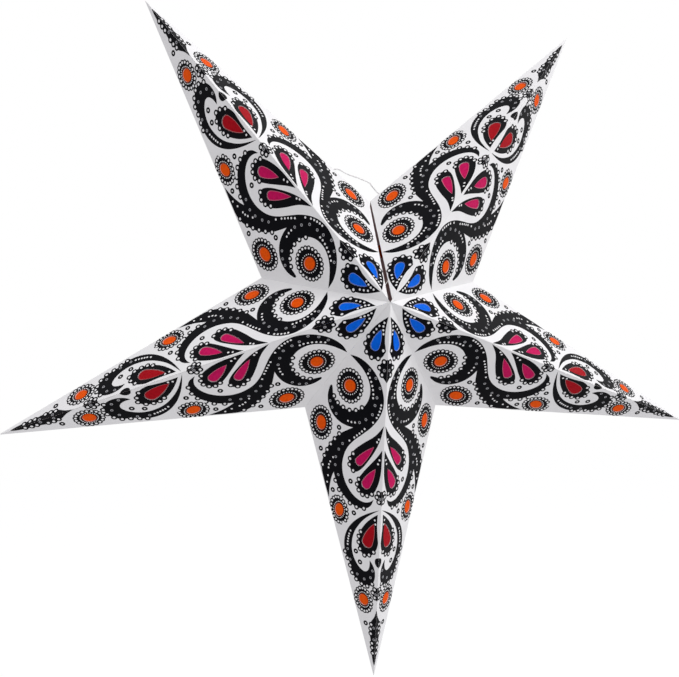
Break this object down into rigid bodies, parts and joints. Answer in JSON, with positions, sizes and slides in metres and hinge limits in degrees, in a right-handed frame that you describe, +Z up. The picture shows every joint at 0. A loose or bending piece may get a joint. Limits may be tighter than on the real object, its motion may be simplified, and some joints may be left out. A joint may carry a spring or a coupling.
{
  "type": "paper star lantern",
  "caption": "Folded card star lantern with scroll print, coloured tissue windows and a string-tied top slit; folds flat in one coupled motion.",
  "frame": {"origin": "where the closing string crosses the top slit, the point that the lantern hangs from", "axes": "+Z up, front centre point of the star towards -Y, +X to the viewer's right"},
  "size_m": [0.5794, 0.1496, 0.551],
  "materials": {
    "card": "matt white card with a black scroll print",
    "card_inside": "plain matt white card",
    "tissue": "coloured tissue: blue, magenta, red and orange patches",
    "string": "white twisted cotton"
  },
  "bodies": {
    "upper_left_front_cw": {"upper_left_front_cw_panel": "card", "upper_left_front_cw_tissue": "tissue"},
    "upper_left_front_ccw": {"upper_left_front_ccw_panel": "card", "upper_left_front_ccw_tissue": "tissue"},
    "upper_left_back_cw": {"upper_left_back_cw_panel": "card", "upper_left_back_cw_tissue": "tissue", "closing_string": "string"},
    "upper_left_back_ccw": {"upper_left_back_ccw_panel": "card", "upper_left_back_ccw_tissue": "tissue"},
    "left_front_cw": {"left_front_cw_panel": "card", "left_front_cw_tissue": "tissue", "left_front_glue_flap": "card_inside"},
    "left_front_ccw": {"left_front_ccw_panel": "card", "left_front_ccw_tissue": "tissue"},
    "left_back_cw": {"left_back_cw_panel": "card", "left_back_cw_tissue": "tissue", "left_back_glue_flap": "card_inside"},
    "left_back_ccw": {"left_back_ccw_panel": "card", "left_back_ccw_tissue": "tissue"},
    "bottom_front_cw": {"bottom_front_cw_panel": "card", "bottom_front_cw_tissue": "tissue", "bottom_front_glue_flap": "card_inside"},
    "bottom_front_ccw": {"bottom_front_ccw_panel": "card", "bottom_front_ccw_tissue": "tissue"},
    "bottom_back_cw": {"bottom_back_cw_panel": "card", "bottom_back_cw_tissue": "tissue", "bottom_back_glue_flap": "card_inside"},
    "bottom_back_ccw": {"bottom_back_ccw_panel": "card", "bottom_back_ccw_tissue": "tissue"},
    "right_front_cw": {"right_front_cw_panel": "card", "right_front_cw_tissue": "tissue", "right_front_glue_flap": "card_inside"},
    "right_front_ccw": {"right_front_ccw_panel": "card", "right_front_ccw_tissue": "tissue"},
    "right_back_cw": {"right_back_cw_panel": "card", "right_back_cw_tissue": "tissue", "right_back_glue_flap": "card_inside"},
    "right_back_ccw": {"right_back_ccw_panel": "card", "right_back_ccw_tissue": "tissue"},
    "upper_right_front_cw": {"upper_right_front_cw_panel": "card", "upper_right_front_cw_tissue": "tissue", "upper_right_front_glue_flap": "card_inside"},
    "upper_right_front_ccw": {"upper_right_front_ccw_panel": "card", "upper_right_front_ccw_tissue": "tissue"},
    "upper_right_back_cw": {"upper_right_back_cw_panel": "card", "upper_right_back_cw_tissue": "tissue", "upper_right_back_glue_flap": "card_inside"},
    "upper_right_back_ccw": {"upper_right_back_ccw_panel": "card", "upper_right_back_ccw_tissue": "tissue"}
  },
  "joints": [
    {"name": "fold", "type": "hinge", "parent": "upper_left_back_cw", "child": "upper_left_front_cw", "pos_m": [0, 0, -0.016], "axis": [-0.7633, 0, 0.6461], "range_deg": [0, 86], "deforming": ["closing_string"]},
    {"name": "upper_left_ridge", "type": "hinge", "parent": "upper_left_front_cw", "child": "upper_left_front_ccw", "pos_m": [0.0002, -0.07364, -0.11127], "axis": [0.5708, -0.2388, -0.7856], "range_deg": [0, 87.29]},
    {"name": "upper_left_ccw_side", "type": "hinge", "parent": "upper_left_front_ccw", "child": "upper_left_back_ccw", "pos_m": [-0.09035, 0, -0.08164], "axis": [-0.3786, 0, 0.9256], "range_deg": [0, 86]},
    {"name": "upper_left_to_left_valley", "type": "hinge", "parent": "upper_left_front_ccw", "child": "left_front_cw", "pos_m": [0, -0.075, -0.111], "axis": [-0.7465, 0.6196, 0.2425], "range_deg": [0, 120.57]},
    {"name": "left_cw_side", "type": "hinge", "parent": "left_front_cw", "child": "left_back_cw", "pos_m": [-0.09035, 0, -0.08164], "axis": [0.8503, 0, 0.5263], "range_deg": [0, 86]},
    {"name": "left_ridge", "type": "hinge", "parent": "left_front_cw", "child": "left_front_ccw", "pos_m": [0.00032, -0.07364, -0.1109], "axis": [0.9235, -0.2388, 0.3001], "range_deg": [0, 87.29]},
    {"name": "left_ccw_side", "type": "hinge", "parent": "left_front_ccw", "child": "left_back_ccw", "pos_m": [-0.05584, 0, -0.18786], "axis": [-0.9973, 0, -0.0741], "range_deg": [0, 86]},
    {"name": "left_to_bottom_valley", "type": "hinge", "parent": "left_front_ccw", "child": "bottom_front_cw", "pos_m": [0, -0.075, -0.111], "axis": [-0.4613, 0.6196, -0.635], "range_deg": [0, 120.57]},
    {"name": "bottom_cw_side", "type": "hinge", "parent": "bottom_front_cw", "child": "bottom_back_cw", "pos_m": [-0.05584, 0, -0.18786], "axis": [-0.2377, 0, 0.9713], "range_deg": [0, 86]},
    {"name": "bottom_ridge", "type": "hinge", "parent": "bottom_front_cw", "child": "bottom_front_ccw", "pos_m": [0, -0.07364, -0.11067], "axis": [0, -0.2388, 0.9711], "range_deg": [0, 87.29]},
    {"name": "bottom_ccw_side", "type": "hinge", "parent": "bottom_front_ccw", "child": "bottom_back_ccw", "pos_m": [0.05584, 0, -0.18786], "axis": [-0.2377, 0, -0.9713], "range_deg": [0, 86]},
    {"name": "bottom_to_right_valley", "type": "hinge", "parent": "bottom_front_ccw", "child": "right_front_cw", "pos_m": [0, -0.075, -0.111], "axis": [0.4613, 0.6196, -0.635], "range_deg": [0, 120.57]},
    {"name": "right_cw_side", "type": "hinge", "parent": "right_front_cw", "child": "right_back_cw", "pos_m": [0.05584, 0, -0.18786], "axis": [-0.9973, 0, 0.0741], "range_deg": [0, 86]},
    {"name": "right_ridge", "type": "hinge", "parent": "right_front_cw", "child": "right_front_ccw", "pos_m": [-0.00032, -0.07364, -0.1109], "axis": [-0.9235, -0.2388, 0.3001], "range_deg": [0, 87.29]},
    {"name": "right_ccw_side", "type": "hinge", "parent": "right_front_ccw", "child": "right_back_ccw", "pos_m": [0.09035, 0, -0.08164], "axis": [0.8503, 0, -0.5263], "range_deg": [0, 86]},
    {"name": "right_to_upper_right_valley", "type": "hinge", "parent": "right_front_ccw", "child": "upper_right_front_cw", "pos_m": [0, -0.075, -0.111], "axis": [0.7465, 0.6196, 0.2425], "range_deg": [0, 120.57]},
    {"name": "upper_right_cw_side", "type": "hinge", "parent": "upper_right_front_cw", "child": "upper_right_back_cw", "pos_m": [0.09035, 0, -0.08164], "axis": [-0.3786, 0, -0.9256], "range_deg": [0, 86]},
    {"name": "upper_right_ridge", "type": "hinge", "parent": "upper_right_front_cw", "child": "upper_right_front_ccw", "pos_m": [-0.0002, -0.07364, -0.11127], "axis": [-0.5708, -0.2388, -0.7856], "range_deg": [0, 87.29]},
    {"name": "upper_right_ccw_side", "type": "hinge", "parent": "upper_right_front_ccw", "child": "upper_right_back_ccw", "pos_m": [0, 0, -0.016], "axis": [0.7633, 0, 0.6461], "range_deg": [0, 86]}
  ],
  "couplings": [
    {"joint": "upper_left_ridge", "follows": "fold", "ratio": 1.015},
    {"joint": "upper_left_ccw_side", "follows": "fold", "ratio": 1},
    {"joint": "upper_left_to_left_valley", "follows": "fold", "ratio": 1.402},
    {"joint": "left_cw_side", "follows": "fold", "ratio": 1},
    {"joint": "left_ridge", "follows": "fold", "ratio": 1.015},
    {"joint": "left_ccw_side", "follows": "fold", "ratio": 1},
    {"joint": "left_to_bottom_valley", "follows": "fold", "ratio": 1.402},
    {"joint": "bottom_cw_side", "follows": "fold", "ratio": 1},
    {"joint": "bottom_ridge", "follows": "fold", "ratio": 1.015},
    {"joint": "bottom_ccw_side", "follows": "fold", "ratio": 1},
    {"joint": "bottom_to_right_valley", "follows": "fold", "ratio": 1.402},
    {"joint": "right_cw_side", "follows": "fold", "ratio": 1},
    {"joint": "right_ridge", "follows": "fold", "ratio": 1.015},
    {"joint": "right_ccw_side", "follows": "fold", "ratio": 1},
    {"joint": "right_to_upper_right_valley", "follows": "fold", "ratio": 1.402},
    {"joint": "upper_right_cw_side", "follows": "fold", "ratio": 1},
    {"joint": "upper_right_ridge", "follows": "fold", "ratio": 1.015},
    {"joint": "upper_right_ccw_side", "follows": "fold", "ratio": 1}
  ]
}
